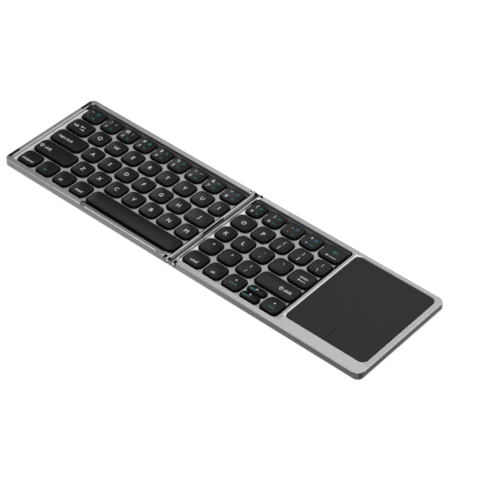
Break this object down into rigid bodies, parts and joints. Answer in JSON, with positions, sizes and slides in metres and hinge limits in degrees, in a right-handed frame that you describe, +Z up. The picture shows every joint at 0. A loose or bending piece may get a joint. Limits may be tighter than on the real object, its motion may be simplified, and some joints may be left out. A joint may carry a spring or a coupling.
{
  "type": "folding keyboard",
  "caption": "Slim aluminium keyboard with scissor keys and a side touchpad that folds face to face on a two-pin end-link hinge.",
  "frame": {"origin": "on the surface the feet stand on, under the middle of the hinge spine", "axes": "+X to the right along the key rows towards the touchpad, +Y to the back (number row), +Z up; the keyboard lies open"},
  "size_m": [0.3284, 0.0918, 0.0066],
  "materials": {
    "frame": "satin anodised, fine blasted grain",
    "deck": "satin anodised",
    "base": "satin anodised sheet",
    "hinge": "brushed",
    "pin": "polished",
    "screw": "plated",
    "keycap": "fine matt texture",
    "pad": "smooth matt coating",
    "rubber": "matt",
    "film": "polyimide film",
    "sheet": "silicone domes on a printed film",
    "lever": "moulded acetal",
    "cell": "foil pouch",
    "board": "solder mask"
  },
  "bodies": {
    "right_half": {"right_frame": "frame", "right_key_plate": "deck", "right_base": "base", "right_feet": "rubber", "right_screws": "screw", "right_switch_sheet": "sheet", "right_scissors": "lever", "battery": "cell", "charging_board": "board", "touchpad_switch": "lever"},
    "spine": {"hinge_spine": "hinge", "hinge_pins": "pin", "ribbon_cable": "film"},
    "left_half": {"left_frame": "frame", "left_key_plate": "deck", "left_base": "base", "left_feet": "rubber", "left_screws": "screw", "left_switch_sheet": "sheet", "left_scissors": "lever", "fold_bumpers": "rubber"},
    "touchpad": {"touchpad": "pad"},
    "key_q": {"key_q": "keycap"},
    "key_w": {"key_w": "keycap"},
    "key_e": {"key_e": "keycap"},
    "key_r": {"key_r": "keycap"},
    "key_t": {"key_t": "keycap"},
    "key_y": {"key_y": "keycap"},
    "key_u": {"key_u": "keycap"},
    "key_i": {"key_i": "keycap"},
    "key_a": {"key_a": "keycap"},
    "key_s": {"key_s": "keycap"},
    "key_d": {"key_d": "keycap"},
    "key_f": {"key_f": "keycap"},
    "key_g": {"key_g": "keycap"},
    "key_h": {"key_h": "keycap"},
    "key_j": {"key_j": "keycap"},
    "key_z": {"key_z": "keycap"},
    "key_x": {"key_x": "keycap"},
    "key_c": {"key_c": "keycap"},
    "key_v": {"key_v": "keycap"},
    "key_b": {"key_b": "keycap"},
    "key_n": {"key_n": "keycap"},
    "key_m": {"key_m": "keycap"},
    "tab_key": {"tab_key": "keycap"},
    "caps_lock_key": {"caps_lock_key": "keycap"},
    "left_shift_key": {"left_shift_key": "keycap"},
    "space_bar": {"space_bar": "keycap"},
    "number_keys_left": {"number_keys_left": "keycap"},
    "left_bottom_row": {"left_bottom_row": "keycap"},
    "key_o": {"key_o": "keycap"},
    "key_p": {"key_p": "keycap"},
    "key_k": {"key_k": "keycap"},
    "key_l": {"key_l": "keycap"},
    "backspace_key": {"backspace_key": "keycap"},
    "enter_key": {"enter_key": "keycap"},
    "right_shift_key": {"right_shift_key": "keycap"},
    "number_keys_right": {"number_keys_right": "keycap"},
    "punctuation_keys": {"punctuation_keys": "keycap"},
    "right_bottom_row": {"right_bottom_row": "keycap"}
  },
  "joints": [
    {"name": "fold_right", "type": "hinge", "parent": "right_half", "child": "spine", "pos_m": [0.0029, 0, 0.00355], "axis": [0, 1, 0], "range_deg": [0, 90], "deforming": ["ribbon_cable"]},
    {"name": "fold_left", "type": "hinge", "parent": "spine", "child": "left_half", "pos_m": [-0.0029, 0, 0.00355], "axis": [0, 1, 0], "range_deg": [0, 90], "deforming": ["ribbon_cable"]},
    {"name": "touchpad_click", "type": "hinge", "parent": "right_half", "child": "touchpad", "pos_m": [0.12634, 0.0421, 0.0048], "axis": [1, 0, 0], "range_deg": [0, 0.3], "stiffness_Nm_per_rad": 60, "springref_deg": -0.11},
    {"name": "press_q", "type": "slide", "parent": "left_half", "child": "key_q", "axis": [0, 0, -1], "range_m": [0, 0.0013], "stiffness_N_per_m": 300, "springref_m": -0.0005, "deforming": ["left_switch_sheet", "left_scissors"]},
    {"name": "press_w", "type": "slide", "parent": "left_half", "child": "key_w", "axis": [0, 0, -1], "range_m": [0, 0.0013], "stiffness_N_per_m": 300, "springref_m": -0.0005, "deforming": ["left_switch_sheet", "left_scissors"]},
    {"name": "press_e", "type": "slide", "parent": "left_half", "child": "key_e", "axis": [0, 0, -1], "range_m": [0, 0.0013], "stiffness_N_per_m": 300, "springref_m": -0.0005, "deforming": ["left_switch_sheet", "left_scissors"]},
    {"name": "press_r", "type": "slide", "parent": "left_half", "child": "key_r", "axis": [0, 0, -1], "range_m": [0, 0.0013], "stiffness_N_per_m": 300, "springref_m": -0.0005, "deforming": ["left_switch_sheet", "left_scissors"]},
    {"name": "press_t", "type": "slide", "parent": "left_half", "child": "key_t", "axis": [0, 0, -1], "range_m": [0, 0.0013], "stiffness_N_per_m": 300, "springref_m": -0.0005, "deforming": ["left_switch_sheet", "left_scissors"]},
    {"name": "press_y", "type": "slide", "parent": "left_half", "child": "key_y", "axis": [0, 0, -1], "range_m": [0, 0.0013], "stiffness_N_per_m": 300, "springref_m": -0.0005, "deforming": ["left_switch_sheet", "left_scissors"]},
    {"name": "press_u", "type": "slide", "parent": "left_half", "child": "key_u", "axis": [0, 0, -1], "range_m": [0, 0.0013], "stiffness_N_per_m": 300, "springref_m": -0.0005, "deforming": ["left_switch_sheet", "left_scissors"]},
    {"name": "press_i", "type": "slide", "parent": "left_half", "child": "key_i", "axis": [0, 0, -1], "range_m": [0, 0.0013], "stiffness_N_per_m": 300, "springref_m": -0.0005, "deforming": ["left_switch_sheet", "left_scissors"]},
    {"name": "press_a", "type": "slide", "parent": "left_half", "child": "key_a", "axis": [0, 0, -1], "range_m": [0, 0.0013], "stiffness_N_per_m": 300, "springref_m": -0.0005, "deforming": ["left_switch_sheet", "left_scissors"]},
    {"name": "press_s", "type": "slide", "parent": "left_half", "child": "key_s", "axis": [0, 0, -1], "range_m": [0, 0.0013], "stiffness_N_per_m": 300, "springref_m": -0.0005, "deforming": ["left_switch_sheet", "left_scissors"]},
    {"name": "press_d", "type": "slide", "parent": "left_half", "child": "key_d", "axis": [0, 0, -1], "range_m": [0, 0.0013], "stiffness_N_per_m": 300, "springref_m": -0.0005, "deforming": ["left_switch_sheet", "left_scissors"]},
    {"name": "press_f", "type": "slide", "parent": "left_half", "child": "key_f", "axis": [0, 0, -1], "range_m": [0, 0.0013], "stiffness_N_per_m": 300, "springref_m": -0.0005, "deforming": ["left_switch_sheet", "left_scissors"]},
    {"name": "press_g", "type": "slide", "parent": "left_half", "child": "key_g", "axis": [0, 0, -1], "range_m": [0, 0.0013], "stiffness_N_per_m": 300, "springref_m": -0.0005, "deforming": ["left_switch_sheet", "left_scissors"]},
    {"name": "press_h", "type": "slide", "parent": "left_half", "child": "key_h", "axis": [0, 0, -1], "range_m": [0, 0.0013], "stiffness_N_per_m": 300, "springref_m": -0.0005, "deforming": ["left_switch_sheet", "left_scissors"]},
    {"name": "press_j", "type": "slide", "parent": "left_half", "child": "key_j", "axis": [0, 0, -1], "range_m": [0, 0.0013], "stiffness_N_per_m": 300, "springref_m": -0.0005, "deforming": ["left_switch_sheet", "left_scissors"]},
    {"name": "press_z", "type": "slide", "parent": "left_half", "child": "key_z", "axis": [0, 0, -1], "range_m": [0, 0.0013], "stiffness_N_per_m": 300, "springref_m": -0.0005, "deforming": ["left_switch_sheet", "left_scissors"]},
    {"name": "press_x", "type": "slide", "parent": "left_half", "child": "key_x", "axis": [0, 0, -1], "range_m": [0, 0.0013], "stiffness_N_per_m": 300, "springref_m": -0.0005, "deforming": ["left_switch_sheet", "left_scissors"]},
    {"name": "press_c", "type": "slide", "parent": "left_half", "child": "key_c", "axis": [0, 0, -1], "range_m": [0, 0.0013], "stiffness_N_per_m": 300, "springref_m": -0.0005, "deforming": ["left_switch_sheet", "left_scissors"]},
    {"name": "press_v", "type": "slide", "parent": "left_half", "child": "key_v", "axis": [0, 0, -1], "range_m": [0, 0.0013], "stiffness_N_per_m": 300, "springref_m": -0.0005, "deforming": ["left_switch_sheet", "left_scissors"]},
    {"name": "press_b", "type": "slide", "parent": "left_half", "child": "key_b", "axis": [0, 0, -1], "range_m": [0, 0.0013], "stiffness_N_per_m": 300, "springref_m": -0.0005, "deforming": ["left_switch_sheet", "left_scissors"]},
    {"name": "press_n", "type": "slide", "parent": "left_half", "child": "key_n", "axis": [0, 0, -1], "range_m": [0, 0.0013], "stiffness_N_per_m": 300, "springref_m": -0.0005, "deforming": ["left_switch_sheet", "left_scissors"]},
    {"name": "press_m", "type": "slide", "parent": "left_half", "child": "key_m", "axis": [0, 0, -1], "range_m": [0, 0.0013], "stiffness_N_per_m": 300, "springref_m": -0.0005, "deforming": ["left_switch_sheet", "left_scissors"]},
    {"name": "press_tab_key", "type": "slide", "parent": "left_half", "child": "tab_key", "axis": [0, 0, -1], "range_m": [0, 0.0013], "stiffness_N_per_m": 300, "springref_m": -0.0005, "deforming": ["left_switch_sheet", "left_scissors"]},
    {"name": "press_caps_lock_key", "type": "slide", "parent": "left_half", "child": "caps_lock_key", "axis": [0, 0, -1], "range_m": [0, 0.0013], "stiffness_N_per_m": 300, "springref_m": -0.0005, "deforming": ["left_switch_sheet", "left_scissors"]},
    {"name": "press_left_shift_key", "type": "slide", "parent": "left_half", "child": "left_shift_key", "axis": [0, 0, -1], "range_m": [0, 0.0013], "stiffness_N_per_m": 300, "springref_m": -0.0005, "deforming": ["left_switch_sheet", "left_scissors"]},
    {"name": "press_space_bar", "type": "slide", "parent": "left_half", "child": "space_bar", "axis": [0, 0, -1], "range_m": [0, 0.0013], "stiffness_N_per_m": 300, "springref_m": -0.0005, "deforming": ["left_switch_sheet", "left_scissors"]},
    {"name": "press_number_keys_left", "type": "slide", "parent": "left_half", "child": "number_keys_left", "axis": [0, 0, -1], "range_m": [0, 0.0013], "stiffness_N_per_m": 2700, "springref_m": -0.0005, "deforming": ["left_switch_sheet", "left_scissors"]},
    {"name": "press_left_bottom_row", "type": "slide", "parent": "left_half", "child": "left_bottom_row", "axis": [0, 0, -1], "range_m": [0, 0.0013], "stiffness_N_per_m": 1200, "springref_m": -0.0005, "deforming": ["left_switch_sheet", "left_scissors"]},
    {"name": "press_o", "type": "slide", "parent": "right_half", "child": "key_o", "axis": [0, 0, -1], "range_m": [0, 0.0013], "stiffness_N_per_m": 300, "springref_m": -0.0005, "deforming": ["right_switch_sheet", "right_scissors"]},
    {"name": "press_p", "type": "slide", "parent": "right_half", "child": "key_p", "axis": [0, 0, -1], "range_m": [0, 0.0013], "stiffness_N_per_m": 300, "springref_m": -0.0005, "deforming": ["right_switch_sheet", "right_scissors"]},
    {"name": "press_k", "type": "slide", "parent": "right_half", "child": "key_k", "axis": [0, 0, -1], "range_m": [0, 0.0013], "stiffness_N_per_m": 300, "springref_m": -0.0005, "deforming": ["right_switch_sheet", "right_scissors"]},
    {"name": "press_l", "type": "slide", "parent": "right_half", "child": "key_l", "axis": [0, 0, -1], "range_m": [0, 0.0013], "stiffness_N_per_m": 300, "springref_m": -0.0005, "deforming": ["right_switch_sheet", "right_scissors"]},
    {"name": "press_backspace_key", "type": "slide", "parent": "right_half", "child": "backspace_key", "axis": [0, 0, -1], "range_m": [0, 0.0013], "stiffness_N_per_m": 300, "springref_m": -0.0005, "deforming": ["right_switch_sheet", "right_scissors"]},
    {"name": "press_enter_key", "type": "slide", "parent": "right_half", "child": "enter_key", "axis": [0, 0, -1], "range_m": [0, 0.0013], "stiffness_N_per_m": 300, "springref_m": -0.0005, "deforming": ["right_switch_sheet", "right_scissors"]},
    {"name": "press_right_shift_key", "type": "slide", "parent": "right_half", "child": "right_shift_key", "axis": [0, 0, -1], "range_m": [0, 0.0013], "stiffness_N_per_m": 300, "springref_m": -0.0005, "deforming": ["right_switch_sheet", "right_scissors"]},
    {"name": "press_number_keys_right", "type": "slide", "parent": "right_half", "child": "number_keys_right", "axis": [0, 0, -1], "range_m": [0, 0.0013], "stiffness_N_per_m": 1200, "springref_m": -0.0005, "deforming": ["right_switch_sheet", "right_scissors"]},
    {"name": "press_punctuation_keys", "type": "slide", "parent": "right_half", "child": "punctuation_keys", "axis": [0, 0, -1], "range_m": [0, 0.0013], "stiffness_N_per_m": 2400, "springref_m": -0.0005, "deforming": ["right_switch_sheet", "right_scissors"]},
    {"name": "press_right_bottom_row", "type": "slide", "parent": "right_half", "child": "right_bottom_row", "axis": [0, 0, -1], "range_m": [0, 0.0013], "stiffness_N_per_m": 1800, "springref_m": -0.0005, "deforming": ["right_switch_sheet", "right_scissors"]}
  ]
}
